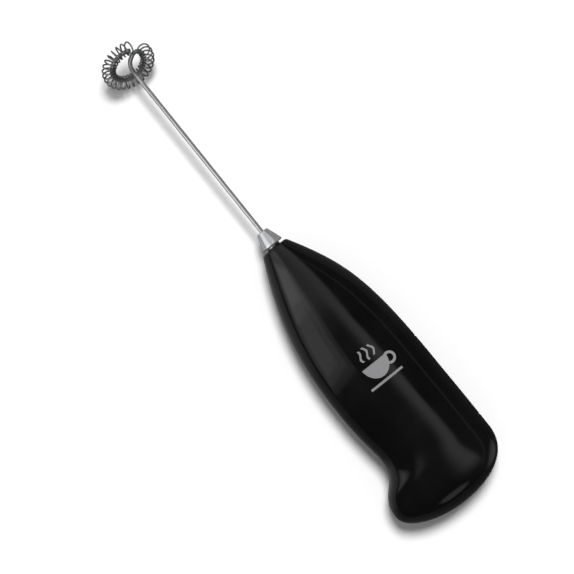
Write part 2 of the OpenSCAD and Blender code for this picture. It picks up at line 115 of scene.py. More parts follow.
SCREW_HEAD_R = 2.3
SCREW_SEAT = -4.4
SCREW_PITCH = 0.9

# Whisk
REACH = 86.4
WIRE_R = 0.825
RING_R = 6.8
LEAN = math.radians(38)
ARM_TURN = math.radians(51)
BEND_R = 4.6
CURL_R = 1.9
RING_SWEEP = math.radians(322)
COIL_WIRE_R = 0.3
COIL_OUTER_R = 10.75
COIL_TURNS = 25


# ---- Curves and solids -------------------------------------------------------------------------------

def bezier(points, t):
    """Points of a cubic Bezier curve at the parameters t."""
    a, b, c, d = (np.array(p, float) for p in points)
    t = np.asarray(t, float)[:, None]
    return (1 - t) ** 3 * a + 3 * (1 - t) ** 2 * t * b + 3 * (1 - t) * t * t * c + t ** 3 * d


def edge(segments):
    """The height of a chain of Bezier curves as a function of x."""
    line = np.concatenate([bezier(s, np.linspace(0, 1, 800)) for s in segments])
    return lambda x: float(np.interp(x, line[:, 0], line[:, 1]))


def polar(radius, degrees):
    """The plane vector of a length and a direction."""
    return np.array([radius * math.cos(math.radians(degrees)), radius * math.sin(math.radians(degrees))])


NOSE_END = np.array([NOSE_X, NOSE_R])


def nose_curve(degrees):
    """The round edge of the nose face, ending in the direction in which the side leaves it."""
    return [(0, NOSE_FACE_R), (0, NOSE_FACE_R + 1.1), NOSE_END - polar(0.5, degrees), NOSE_END]


convex = edge([
    nose_curve(29.2),
    [NOSE_END, NOSE_END + polar(0.193 * LENGTH, 29.2),
     (0.26 * LENGTH, CONVEX - 0.3), (0.596 * LENGTH, CONVEX)],
    [(0.596 * LENGTH, CONVEX), (0.638 * LENGTH, CONVEX),
     (0.688 * LENGTH, CONVEX + 0.3), (TAIL_X, CONVEX + 0.27)],
    [(TAIL_X, CONVEX + 0.27), (TAIL_X + 0.94 * (LENGTH - TAIL_X), CONVEX + 0.27),
     (LENGTH, TIP_Y + 6), (LENGTH, TIP_Y)]])
concave = edge([
    nose_curve(25.8),
    [NOSE_END, NOSE_END + polar(0.242 * LENGTH, 26.4), (0.38 * LENGTH, WAIST), (0.541 * LENGTH, WAIST)],
    [(0.541 * LENGTH, WAIST), (0.64 * LENGTH, WAIST), (DIP_X - 2, DIP), (DIP_X, DIP)],
    [(DIP_X, DIP), (DIP_X + 0.6 * (HOOK_X - DIP_X), DIP),
     (DIP_X + 0.44 * (HOOK_X - DIP_X), HOOK), (HOOK_X, HOOK)],
    [(HOOK_X, HOOK), (HOOK_X + 0.5 * (LENGTH - HOOK_X), HOOK), (LENGTH, -TIP_Y + 12), (LENGTH, -TIP_Y)]])


def side_edge(top):
    """The side view's outline from the nose to the tip, with its highest height."""
    return edge([
        nose_curve(27),
        [NOSE_END, NOSE_END + polar(0.091 * LENGTH, 28), (0.182 * LENGTH, top), (0.364 * LENGTH, top)],
        [(0.364 * LENGTH, top), (0.506 * LENGTH, top), (0.708 * LENGTH, top), (0.83 * LENGTH, top)],
        [(0.83 * LENGTH, top), (0.946 * LENGTH, top), (LENGTH, 0.55 * top), (LENGTH, 0)]])


front_edge = side_edge(CROWN)
back_edge = side_edge(BACK_CROWN)


def section(x, inset=0.0):
    """Centre, half width, front height, back height and their two powers at x, with the x where it lies."""
    half = (convex(x) + concave(x)) / 2
    front, back = front_edge(x), back_edge(x)
    beyond = x > TAIL_X
    full = (convex(TAIL_X) + concave(TAIL_X)) / 2
    width = max(half - inset * (min(1, half / full) if beyond else 1), 0)
    ease = min(1, max(0, x / 45))
    return {
        "x": x - inset * (x - TAIL_X) / (LENGTH - TAIL_X) if beyond else x,
        "centre": (convex(x) - concave(x)) / 2,
        "width": width,
        "front": front - inset * (front / CROWN if beyond else 1),
        "back": back - inset * (back / BACK_CROWN if beyond else 1),
        "front_power": 2 + 0.3 * ease,
        "back_power": 2 + 1.2 * ease,
    }


def power(value, exponent):
    """A power that keeps the sign."""
    return np.sign(value) * np.abs(value) ** exponent


def half_ring(x, front, inset=0.0, count=72, seam=SEAM_R):
    """One half of a section, from the convex edge over the crown to the concave edge.

    Both ends are rounded into the seam.
    """
    s = section(x, inset)
    height, p = (s["front"], s["front_power"]) if front else (s["back"], s["back_power"])
    seam = min(seam, 0.2 * height, 0.2 * s["width"])
    near = [math.asin((share * seam / height) ** (p / 2)) for share in (0, 0.1, 0.25, 0.45, 0.7, 1)]
    turn = np.array(near[:-1] + list(np.linspace(near[-1], math.pi - near[-1], count))
                    + [math.pi - a for a in reversed(near[:-1])])
    z = height * power(np.sin(turn), 2 / p)
    y = s["width"] * power(np.cos(turn), 2 / p)
    dip = seam - np.sqrt(np.maximum(seam ** 2 - np.maximum(seam - z, 0) ** 2, 0))
    y = s["centre"] + y - np.sign(np.cos(turn)) * dip
    return np.stack([np.full_like(y, s["x"]), y, z if front else -z], 1)


def whole_ring(x, inset, count=96):
    """A whole section, front and back."""
    s = section(x, inset)
    turn = np.linspace(0, 2 * math.pi, count, endpoint=False)
    upper = np.sin(turn) >= 0
    p = np.where(upper, s["front_power"], s["back_power"])
    height = np.where(upper, s["front"], s["back"])
    y = s["centre"] + s["width"] * power(np.cos(turn), 2 / p)
    return np.stack([np.full_like(y, s["x"]), y, height * power(np.sin(turn), 2 / p)], 1)


def stations(first, along, tail):
    """Places of the sections along x: close at the nose, even along the handle, closing in at the tip."""
    nose = [0, 0.04, 0.1, 0.2, 0.35, 0.55, 0.75, NOSE_X, 1.15, 1.45, 1.8, 2.4, 3.2]
    start = max(first, nose[-1])
    reach = LENGTH - 0.01 - TAIL_X
    return ([x for x in nose if x >= first]
            + [start + (TAIL_X - start) * i / along for i in range(1, along + 1)]
            + [TAIL_X + reach * math.sin(math.pi / 2 * i / tail) for i in range(1, tail + 1)])


def add_object(name, points, faces):
    """A mesh object from points in the nose frame. Its faces are turned outwards."""
    points = np.asarray(points, float)
    first, second, third = (points[[f[i] for f in faces]] for i in (0, 1, 2))
    volume = np.einsum("ij,ij->", first, np.cross(second, third))
    for f in faces:
        if len(f) == 4:
            volume += np.dot(points[f[0]], np.cross(points[f[2]], points[f[3]]))
        for i in range(3, len(f) - 1 if len(f) > 4 else 0):
            volume += np.dot(points[f[0]], np.cross(points[f[i - 1]], points[f[i]]))
    if volume < 0:
        faces = [f[::-1] for f in faces]
    mesh = bpy.data.meshes.new(name)
    mesh.from_pydata((points * MM + [nose_face, 0, spin_axis_z]).tolist(), [], faces)
    mesh.update()
    mesh.shade_smooth()
    obj = bpy.data.objects.new(name, mesh)
    bpy.context.scene.collection.objects.link(obj)
    return obj


def loft(name, rings):
    """A solid through rings of equal count, with a face on each end."""
    rings = [np.asarray(r, float) for r in rings]
    n, m = len(rings[0]), len(rings)
    faces = [(a * n + i, a * n + (i + 1) % n, (a + 1) * n + (i + 1) % n, (a + 1) * n + i)
             for a in range(m - 1) for i in range(n)]
    faces += [tuple(reversed(range(n))), tuple((m - 1) * n + i for i in range(n))]
    return add_object(name, np.concatenate(rings), faces)


def block(x0, x1, y0, y1, z0, z1):
    """A box between two corners."""
    return loft("block", [[(x, y0, z0), (x, y1, z0), (x, y1, z1), (x, y0, z1)] for x in (x0, x1)])


def circle(radius, count=64):
    """Points round a circle."""
    turn = np.linspace(0, 2 * math.pi, count, endpoint=False)
    return np.stack([radius * np.cos(turn), radius * np.sin(turn)], 1)


def lathe_x(name, profile, y=0.0, z=0.0, count=64):
    """A solid of revolution about a line along x; the profile is a list of (x, radius)."""
    return loft(name, [[(x, y + a, z + b) for a, b in circle(r, count)] for x, r in profile])


def lathe_z(name, profile, x, y, count=48):
    """A solid of revolution about a line along z; the profile is a list of (z, radius)."""
    return loft(name, [[(x + a, y + b, z) for a, b in circle(r, count)] for z, r in profile])


def lathe_y(name, profile, x, z, count=24):
    """A solid of revolution about a line along y; the profile is a list of (y, radius)."""
    return loft(name, [[(x + a, y, z + b) for a, b in circle(r, count)] for y, r in profile])


def boolean(base, tool, operation="DIFFERENCE"):
    """Applies one Boolean to base and removes the tool."""
    modifier = base.modifiers.new("boolean", "BOOLEAN")
    modifier.operation = operation
    modifier.object = tool
    modifier.solver = "MANIFOLD"
    base.data = bpy.data.meshes.new_from_object(
        base.evaluated_get(bpy.context.evaluated_depsgraph_get()))
    base.modifiers.clear()
    bpy.data.objects.remove(tool)
    return base


def union(base, *tools):
    """Joins solids to base."""
    for tool in tools:
        boolean(base, tool, "UNION")
    return base


def cut(base, *tools):
    """Takes solids away from base."""
    for tool in tools:
        boolean(base, tool)
    return base


def finish_normals(obj, guide=None, angle=30, reach=0.012):
    """Smooth shading up to an angle. Faces that lie on the guide's surface take the guide's own normals."""
    mesh = obj.data
    mesh.shade_smooth()
    mesh.set_sharp_from_angle(angle=math.radians(angle))
    if guide is None:
        return obj
    skin = guide.data
    tree = BVHTree.FromPolygons([v.co for v in skin.vertices],
                                [tuple(p.vertices) for p in skin.polygons])
    corner = {}

    def smooth_normal(index):
        if index not in corner:
            co = mesh.vertices[index].co
            place, _, face, _ = tree.find_nearest(co)
            ids = list(skin.polygons[face].vertices)
            gaps = [max((skin.vertices[i].co - place).length, 1e-9) for i in ids]
            total = sum((skin.vertices[i].normal / g for i, g in zip(ids, gaps)), Vector())
            corner[index] = total.normalized()
        return corner[index]

    normals = [Vector()] * len(mesh.loops)
    for polygon in mesh.polygons:
        _, normal, face, gap = tree.find_nearest(polygon.center)
        elsewhere = gap > reach * MM or polygon.normal.dot(normal) < 0.9
        if elsewhere or len(skin.polygons[face].vertices) > 4:
            continue
        for loop in polygon.loop_indices:
            normals[loop] = smooth_normal(mesh.loops[loop].vertex_index)
    mesh.normals_split_custom_set(normals)
    return obj


# Distance between the points along a straight side of an outline
OUTLINE_STEP = 1.3


def rounded_outline(length, width, radius, count=10):
    """Points round a rectangle with round corners about its own centre, for any offset outwards."""
    def points(offset):
        half = np.array([length / 2 + offset, width / 2 + offset])
        half = np.maximum(half, 0.05)
        r = min(max(radius + offset, 0.04), *half)
        out = []
        for k, (sx, sy) in enumerate(((1, 1), (-1, 1), (-1, -1), (1, -1))):
            centre = np.array([sx, sy]) * (half - r)
            turn = math.pi / 2 * (k + np.linspace(0, 1, count))
            out += [centre + r * np.array([math.cos(t), math.sin(t)]) for t in turn]
            target = np.array([(-1, 1), (-1, -1), (1, -1), (1, 1)][k]) * (half - r)
            following = target + r * np.array([math.cos(turn[-1]), math.sin(turn[-1])])
            run = max(length, width) if k % 2 == 0 else min(length, width)
            steps = max(int(run / OUTLINE_STEP), 2)
            out += [out[-1] + (following - out[-1]) * i / steps for i in range(1, steps)]
        return np.array(out)
    return points


def fillet(radius, outwards=False, steps=6):
    """(offset, depth) pairs from a wall up to a surface: a round edge, or a round mouth if outwards."""
    pairs = []
    for i in range(steps + 1):
        a = math.pi / 2 * i / steps
        drop = radius * (1 - math.sin(a))
        aside = radius * (1 - math.cos(a))
        pairs.append((aside if outwards else -aside, drop))
    return pairs


def plate(name, outline, lay, profile):
    """A solid whose rings follow a surface: lay(points, depth) puts plan points that deep under it."""
    return loft(name, [lay(outline(offset), depth) for offset, depth in profile])


def under_back(points, depth, centre=(0, 0)):
    """Plan points (x, y) laid against the back of the handle, or its flat."""
    out = []
    for px, py in points + np.array(centre):
        s = section(px)
        share = min(abs(py - s["centre"]) / max(s["width"], 1e-6), 0.999)
        drop = s["back"] * (1 - share ** s["back_power"]) ** (1 / s["back_power"])
        out.append((px, py, max(-drop, -FLAT_BACK) + depth))
    return np.array(out)


def beside_convex(points, depth, centre=(0, 0)):
    """Plan points (x, z) laid against the convex side of the handle."""
    out = []
    for px, pz in points + np.array(centre):
        s = section(px)
        height, p = (s["front"], s["front_power"]) if pz >= 0 else (s["back"], s["back_power"])
        share = min(abs(pz) / height, 0.999)
        out.append((px, s["centre"] + s["width"] * (1 - share ** p) ** (1 / p) - depth, pz))
    return np.array(out)


def tube(name, points, radius, sides=20, tip=True):
    """A round wire along points, without twist, with rounded tips."""
    points = np.array(points, float)
    ahead = np.gradient(points, axis=0)
    ahead /= np.linalg.norm(ahead, axis=1)[:, None]
    side = np.cross(ahead[0], (0.3, 0.5, 0.8))
    side /= np.linalg.norm(side)
    turn = np.linspace(0, 2 * math.pi, sides, endpoint=False)
    rings = []
    for place, along in zip(points, ahead):
        side = side - along * np.dot(side, along)
        side /= np.linalg.norm(side)
        up = np.cross(along, side)
        rings.append(place + radius * (np.cos(turn)[:, None] * side + np.sin(turn)[:, None] * up))
    if tip:
        for end, centre, along in ((0, points[0], ahead[0]), (-1, points[-1], -ahead[-1])):
            ring = rings[end]
            caps = [centre + (ring - centre) * math.cos(a) + along * 0.25 * radius * (1 - math.sin(a))
                    for a in (0.35, 0.75, 1.2)]
            rings[end] = ring + along * 0.25 * radius
            rings = caps[::-1] + rings if end == 0 else rings + caps
    return loft(name, rings)


# ---- Handle ------------------------------------------------------------------------------------------

def half_solid(name, front, inset=0.0, count=72, along=170, tail=70, seam=SEAM_R):
    """One half of the handle as a full solid."""
    return loft(name, [half_ring(x, front, inset, count, seam) for x in stations(0, along, tail)])


def core_solid(inset, first):
    """The room inside the handle."""
    xs = [first] + stations(first + 0.5, 60, 26)
    return loft("core", [whole_ring(x, inset, 64) for x in xs])


def motor_solid(x0, x1, gap):
    """The motor's outline with its two flats, made larger by a gap."""
    flat = CAN_FLATS / 2 + gap
    return loft("motor", [[(x, a, max(-flat, min(flat, b))) for a, b in circle(CAN_R + gap, 96)]
                          for x in (x0, x1)])


def ribs_solid(front):
    """Ribs that stop and cradle the motor and close the cell bay, with the screw posts."""
    z0, z1 = (0, CROWN) if front else (-FLAT_BACK, 0)
    parts = [block(x, x + MOTOR_RIB_T, -20, 20, z0, z1)
             for x in (MOTOR_X - 1.8, MOTOR_X + 4.5, MOTOR_X + CAN_LENGTH - 3.5)]
    parts.append(block(BAY_X - BAY_RIB_T, BAY_X, -21, 21, z0, z1))
    parts.append(block(BAY_END, BAY_END + BAY_RIB_T, -27, 21, z0, z1))
    post = 2.9 if front else 3.5
    parts += [lathe_z("post", ((z0, post), (z1, post)), x, y) for x, y in SCREWS]
    ribs = union(parts[0], *parts[1:])
    return boolean(ribs, half_solid("inner", front, WALL / 2, 40, 60, 26, 0.02), "INTERSECT")


def shared_cuts():
    """What both shells lose inside: the motor's bed, ways for the shaft and the leads, and the nose bore."""
    tools = [motor_solid(MOTOR_X - 0.03, MOTOR_END + 0.03, 0.03),
             lathe_x("shaft way", ((MOTOR_X - 3, 3.2), (MOTOR_X + 1, 3.2)))]
    tools += [lathe_x("cell way", ((BAY_X - 2, 4), (BAY_X + 1, 4)), y) for y in CELL_SIDES]
    tools += [block(BAY_X - 2, BAY_X + 1, y0, y1, -3, 3) for y0, y1 in ((-18.5, -15.9), (14.4, 16.6))]
    mouth = [(0.35 * (1 - math.sin(a)), BORE_R + 0.35 * (1 - math.cos(a)))
             for a in (math.pi / 2 * i / 5 for i in range(6))]
    tools.append(lathe_x("bore", [(-1, BORE_R + 0.35)] + sorted(mouth, key=lambda p: p[0])
                         + [(NOSE_WALL + 1, BORE_R)], count=96))
    return tools


BAR_CENTRE = (BAR_X + BAR_LENGTH / 2, 0)


def bar_window():
    """The opening for the bar, with a round mouth that follows the convex side."""
    def lay(points, depth):
        return beside_convex(points, depth, BAR_CENTRE)
    outline = rounded_outline(BAR_LENGTH + 2 * BAR_GAP, BAR_WIDTH + 2 * BAR_GAP, 1.2)
    steps = [-BAR_WIDTH / 2 * k / 4 for k in (4, 3, 2, 1)]
    deep = CONVEX - BAR_IN + 2.5
    above = -1.5
    inside = [(o, deep) for o in steps] + [(0, deep)]
    mouth = fillet(MOUTH_R, outwards=True)
    return plate("window", outline, lay,
                 inside + mouth + [(MOUTH_R, above)] + [(o, above) for o in reversed(steps)])


DOOR_CENTRE = (DOOR_X + DOOR_LENGTH / 2, DOOR_Y)


def door_steps(width):
    """Offsets that step from the middle of the door to its edge."""
    return [-width / 2 * k / 16 for k in range(16, 0, -1)]


def door_pocket():
    """The seat of the battery door, with a round mouth."""
    def lay(points, depth):
        return under_back(points, depth, DOOR_CENTRE)
    outline = rounded_outline(DOOR_LENGTH + 2 * DOOR_GAP, DOOR_WIDTH + 2 * DOOR_GAP, DOOR_R + DOOR_GAP)
    deep = DOOR_T + DOOR_GAP
    above = -2.0
    steps = door_steps(DOOR_WIDTH)
    inside = [(o, deep) for o in steps] + [(0, deep)]
    mouth = fillet(MOUTH_R, outwards=True)
    return plate("pocket", outline, lay,
                 inside + mouth + [(MOUTH_R, above)] + [(o, above) for o in reversed(steps)])


def prism(x0, length, width, radius, z0, z1):
    """An upright prism with a rounded outline, centred across the cell pair."""
    points = rounded_outline(length, width, radius, 6)(0) + [x0 + length / 2, DOOR_Y]
    return loft("prism", [[(a, b, z) for a, b in points] for z in (z0, z1)])


def shell(name, front):
    """One half of the handle, hollow, with its ribs, posts and openings."""
    guide = half_solid("guide", front)
    body = half_solid(name, front)
    cut(body, core_solid(WALL, NOSE_WALL))
    ribs = ribs_solid(front)
    if not front:
        cut(ribs, prism(BAY_X, BAY_LENGTH, DOOR_WIDTH - 2 * LEDGE + 0.4, 1, -FLAT_BACK - 1, -2))
    union(body, ribs)
    cut(body, *shared_cuts(), bar_window())
    if front:
        cut(body, *[lathe_z("hole", ((-1, SCREW_R), (6, SCREW_R)), x, y) for x, y in SCREWS])
    else:
        cut(body, *[lathe_z("hole", ((-7, SCREW_R + 0.1), (1, SCREW_R + 0.1)), x, y) for x, y in SCREWS])
        for x, y in SCREWS:
            well = SCREW_HEAD_R + 0.2
            cut(body, lathe_z("well", ((-FLAT_BACK - 1, well + 0.25), (-FLAT_BACK, well + 0.25),
                                       (-FLAT_BACK + 0.07, well + 0.07), (-FLAT_BACK + 0.25, well),
                                       (SCREW_SEAT, well)), x, y))
        cut(body, door_pocket())
        cut(body, prism(DOOR_X + LEDGE, DOOR_LENGTH - 2 * LEDGE, DOOR_WIDTH - 2 * LEDGE, 3,
                        -FLAT_BACK - 3, -7))
        cut(body, block(-1, LENGTH + 1, -40, 40, -FLAT_BACK - 3, -FLAT_BACK))
    finish_normals(body, guide)
    bpy.data.objects.remove(guide)
    return body


def battery_door():
    """The door with its frame inside, a thumb dimple and five grip grooves."""
    def lay(points, depth):
        return under_back(points, depth, DOOR_CENTRE)
    outline = rounded_outline(DOOR_LENGTH, DOOR_WIDTH, DOOR_R)
    steps = door_steps(DOOR_WIDTH)
    inside = [(o, DOOR_T) for o in steps] + [(0, DOOR_T)]
    edge_round = fillet(MOUTH_R)
    outside = [(o, 0) for o in reversed(steps) if o < -MOUTH_R]
    guide = plate("guide", outline, lay, inside + edge_round + outside)
    door = plate("battery_door_cover", outline, lay, inside + edge_round + outside)
    frame_wall = prism(DOOR_X + RIM, DOOR_LENGTH - 2 * RIM, DOOR_WIDTH - 2 * RIM, 2.7,
                       -FLAT_BACK + 0.8, -9.6)
    cut(frame_wall,
        prism(DOOR_X + RIM + 1, DOOR_LENGTH - 2 * RIM - 2, DOOR_WIDTH - 2 * RIM - 2, 1.7, -FLAT_BACK - 1, -9),
        block(BAY_X - 1.8, BAY_X + 0.9, -21, 21, -FLAT_BACK, -9))
    union(door, frame_wall)
    cut(door, block(0, LENGTH, -40, 40, -FLAT_BACK - 3, -FLAT_BACK + DOOR_RECESS))
    ball_r = 4.2
    ball = [(-FLAT_BACK - 3.1 + ball_r * math.sin(a), ball_r * math.cos(a))
            for a in np.linspace(-1.5, 1.5, 40)]
    cut(door, lathe_z("thumb dimple", ball, DOOR_X + 5.5, DOOR_Y, 64))
    groove = [(DOOR_Y + y, r) for y, r in ((-7, 0.3), (-6.7, 0.55), (6.7, 0.55), (7, 0.3))]
    for i in range(5):
        cut(door, lathe_y("groove", groove, DOOR_X + 11 + 2 * i, -FLAT_BACK - 0.05))
    finish_normals(door, guide, 35)
    bpy.data.objects.remove(guide)
    return door


def press_bar():
    """The bar with its round face, hollow behind, and an ear at each end that keeps it in."""
    def lay(points, depth):
        return beside_convex(points, depth, BAR_CENTRE)
    outline = rounded_outline(BAR_LENGTH, BAR_WIDTH, 1.0)
    steps = [-BAR_WIDTH / 2 * k / 8 for k in range(8, 0, -1)]

    def rings(profile):
        return [lay(outline(offset), depth) for offset, depth in profile]

    def back(points):
        return np.array([(x + BAR_CENTRE[0], BAR_IN, z) for x, z in points])
    inner = [back(outline(o)) for o in steps] + [back(outline(0))]
    edge_r = 0.45
    outer = rings(fillet(edge_r) + [(o, 0) for o in reversed(steps) if o < -edge_r])
    guide = loft("guide", inner + outer)
    bar = loft("press_bar_cap", inner + outer)
    union(bar, block(BAR_X - EAR, BAR_X + BAR_LENGTH + EAR, BAR_IN, BAR_IN + EAR_T, -2.6, 2.6))
    cut(bar, block(BAR_X + 1.5, BAR_X + BAR_LENGTH - 1.5, BAR_IN - 1, BAR_IN + 0.8, -2.4, 2.4))
    finish_normals(bar, guide, 35)
    bpy.data.objects.remove(guide)
    return bar


def shell_screws():
    """Four pan heads with cross recesses, on shanks with ridges for a thread."""
    whole = None
    root, crest = SCREW_R - 0.2, SCREW_R - 0.03
    for x, y in SCREWS:
        low = SCREW_SEAT - 1.6
        profile = [(low, 1.2), (low + 0.03, 1.55), (low + 0.16, 1.93), (low + 0.4, 2.2),
                   (low + 0.75, SCREW_HEAD_R), (SCREW_SEAT - 0.08, SCREW_HEAD_R),
                   (SCREW_SEAT, SCREW_HEAD_R - 0.08), (SCREW_SEAT, SCREW_R)]
        z = SCREW_SEAT + 0.3
        while z < SCREW_SEAT + 8.6:
            profile += [(z, root), (z + 0.3, crest), (z + 0.4, crest), (z + 0.7, root)]
            z += SCREW_PITCH
        profile += [(SCREW_SEAT + 9.9, 0.4)]
        screw = lathe_z("screw", profile, x, y, 40)
        for turn in (0, math.pi / 2):
            slot = [(low - 0.2, 1.4, 0.33), (low + 0.95, 0.85, 0.22)]
            tool = loft("cross", [[(x + math.cos(turn) * a - math.sin(turn) * b,
                                    y + math.sin(turn) * a + math.cos(turn) * b, z)
                                   for a, b in ((-l, -w), (l, -w), (l, w), (-l, w))] for z, l, w in slot])
            cut(screw, tool)
        whole = screw if whole is None else union(whole, screw)
    whole.name = "case_screws"
    return finish_normals(whole, None, 35)


# ---- Cone and whisk ----------------------------------------------------------------------------------

def cone_piece():
    """A turned cone with a rolled front and rim, hollow where the hub goes in."""
    front = (cone_low.x - nose_face) / MM
    rim = (cone_high.x - nose_face) / MM
    small, wide, neck = 2.4, 4.4, 2.7
    points = [(front, 1.9)]
    points += [(front + 0.4 - 0.4 * math.cos(a), small - 0.4 + 0.4 * math.sin(a))
               for a in np.linspace(0, 1.3, 8)]
    top = np.array(points[-1])
    shoulder = np.array([rim - 0.62, wide - 0.02])
    points += [tuple(top + (shoulder - top) * i / 24) for i in range(1, 25)]
    points += [(rim - 0.5 + 0.5 * math.sin(a), wide - 0.5 + 0.5 * math.cos(a))
               for a in np.linspace(0.15, 1.5, 9)]
    points += [(rim, wide - 0.7), (rim - 0.3, neck), (rim - 1.6, neck), (rim - 1.6, 1.9)]
    cone = ring_lathe("whisk_cone_turned", points)
    return finish_normals(cone, None, 40)


def ring_lathe(name, profile, count=160):
    """A closed profile of (x, radius) turned about the spin axis."""
    n, m = count, len(profile)
    points = [(x, a, b) for x, r in profile for a, b in circle(r, count)]
    faces = [(k * n + i, k * n + (i + 1) % n, (k + 1) % m * n + (i + 1) % n, (k + 1) % m * n + i)
             for k in range(m) for i in range(n)]
    return add_object(name, points, faces)


RING_TOP = np.array([-math.sin(LEAN), 0, math.cos(LEAN)])
RING_NORMAL = np.array([-math.cos(LEAN), 0, -math.sin(LEAN)])
RING_CENTRE = np.array([-REACH, 0, 0])


def in_ring(a, b, turn, out=0.0):
    """A point of the ring's own plane, turned about its middle, as a point of the nose frame."""
    p = a * math.cos(turn) - b * math.sin(turn)
    q = a * math.sin(turn) + b * math.cos(turn)
    return RING_CENTRE + p * RING_TOP + np.array([0, q, 0]) + out * RING_NORMAL


CURL_S = math.sqrt((RING_R - CURL_R) ** 2 - CURL_R ** 2)
CURL_TURN = math.atan(CURL_R / CURL_S)


def whisk_wire():
    """One wire: straight shaft, bend to the arm, curl to the ring, ring."""
    arm = in_ring(1, 0, ARM_TURN) - RING_CENTRE
    side = np.array([0, arm[1], arm[2]])
    side /= np.linalg.norm(side)
    bend = math.acos(-arm[0])
    tangent = BEND_R * math.tan(bend / 2)
    centre = RING_CENTRE + [tangent, 0, 0] + BEND_R * side
    start = RING_CENTRE[0] + tangent
    points = [(x, 0, 0) for x in np.linspace(1.2, start, 60, endpoint=False)]
    points += [centre - BEND_R * (math.cos(t) * side + math.sin(t) * np.array([1, 0, 0]))
               for t in np.linspace(0, bend, 22)]
    points += [in_ring(CURL_S + CURL_R * math.cos(t), CURL_R + CURL_R * math.sin(t), ARM_TURN)
               for t in np.linspace(-math.pi / 2, CURL_TURN, 22)]
    points += [in_ring(RING_R * math.cos(t), RING_R * math.sin(t), ARM_TURN)
               for t in CURL_TURN + RING_SWEEP * np.linspace(0, 1, 180)[1:]]
    return tube("whisk_wire", points, WIRE_R, 28)


def whisk_spring():
    """The coil round the ring, from the arm all the way round."""
    loop_r = (COIL_OUTER_R - COIL_WIRE_R - (RING_R - WIRE_R - COIL_WIRE_R - 0.03)) / 2
    middle = COIL_OUTER_R - COIL_WIRE_R - loop_r
    per_turn = 30
    count = COIL_TURNS * per_turn
    points = []
    for i in range(count + 1):
        b = 2 * math.pi * i / per_turn
        turn = ARM_TURN + CURL_TURN + math.radians(1) + RING_SWEEP * i / count
        points.append(in_ring(middle - loop_r * math.cos(b), 0, turn, loop_r * math.sin(b)))
    return tube("whisk_spring", points, COIL_WIRE_R, 10)


# ---- Materials ---------------------------------------------------------------------------------------

class Finish:
    """A node material. Its textures work in object coordinates, so their sizes are given in millimetres."""

    def __init__(self, name, colour, roughness, metallic=0.0, **constants):
        self.material = bpy.data.materials.new(name)
        self.material.use_nodes = True
        self.tree = self.material.node_tree
        self.shader = self.tree.nodes["Principled BSDF"]
        self.shader.inputs["Base Color"].default_value = (*colour, 1)
        self.shader.inputs["Roughness"].default_value = roughness
        self.shader.inputs["Metallic"].default_value = metallic
        for key, value in constants.items():
            self.shader.inputs[key.replace("_", " ")].default_value = value
        self.where = self.node("TexCoord").outputs["Object"]

    def node(self, kind, inputs=None, **settings):
        made = self.tree.nodes.new("ShaderNode" + kind)
        for key, value in settings.items():
            setattr(made, key, value)
        for key, value in (inputs or {}).items():
            if isinstance(value, bpy.types.NodeSocket):
                self.tree.links.new(value, made.inputs[key])
            else:
                made.inputs[key].default_value = value
        return made

    def scaled(self, sizes):
        """Object coordinates divided by a size in millimetres on each axis."""
        return self.node("Mapping", {"Vector": self.where, "Scale": [1 / (s * MM) for s in sizes]}).outputs[0]

    def noise(self, sizes, detail=3.0):
        """Noise whose grain has a size in millimetres, or one for each axis."""
        if not isinstance(sizes, tuple):
            sizes = (sizes,) * 3
        inputs = {"Vector": self.scaled(sizes), "Scale": 1.0, "Detail": detail}
        return self.node("TexNoise", inputs).outputs["Fac"]

    def math(self, operation, a, b=0.0):
        return self.node("Math", {0: a, 1: b}, operation=operation).outputs[0]

    def spread(self, value, low, high, at_low=0.35, at_high=0.65):
        """A value of at_low gives low and a value of at_high gives high."""
        return self.node("MapRange", {"Value": value, "From Min": at_low, "From Max": at_high,
                                      "To Min": low, "To Max": high}).outputs["Result"]

    def mix(self, factor, a, b):
        ends = {key: value if isinstance(value, bpy.types.NodeSocket) else (*value, 1)
                for key, value in ((6, a), (7, b))}
        return self.node("Mix", {0: factor, **ends}, data_type="RGBA").outputs[2]

    def colour(self, socket):
        self.tree.links.new(socket, self.shader.inputs["Base Color"])

    def roughness(self, socket):
        self.tree.links.new(socket, self.shader.inputs["Roughness"])

    def bump(self, height, depth, under=None):
        """Height 0 to 1 stands for depth in millimetres."""
        inputs = {"Height": height, "Distance": depth * MM, "Strength": 1.0}
        if under is not None:
            inputs["Normal"] = under
        normal = self.node("Bump", inputs).outputs["Normal"]
        self.tree.links.new(normal, self.shader.inputs["Normal"])
        return normal


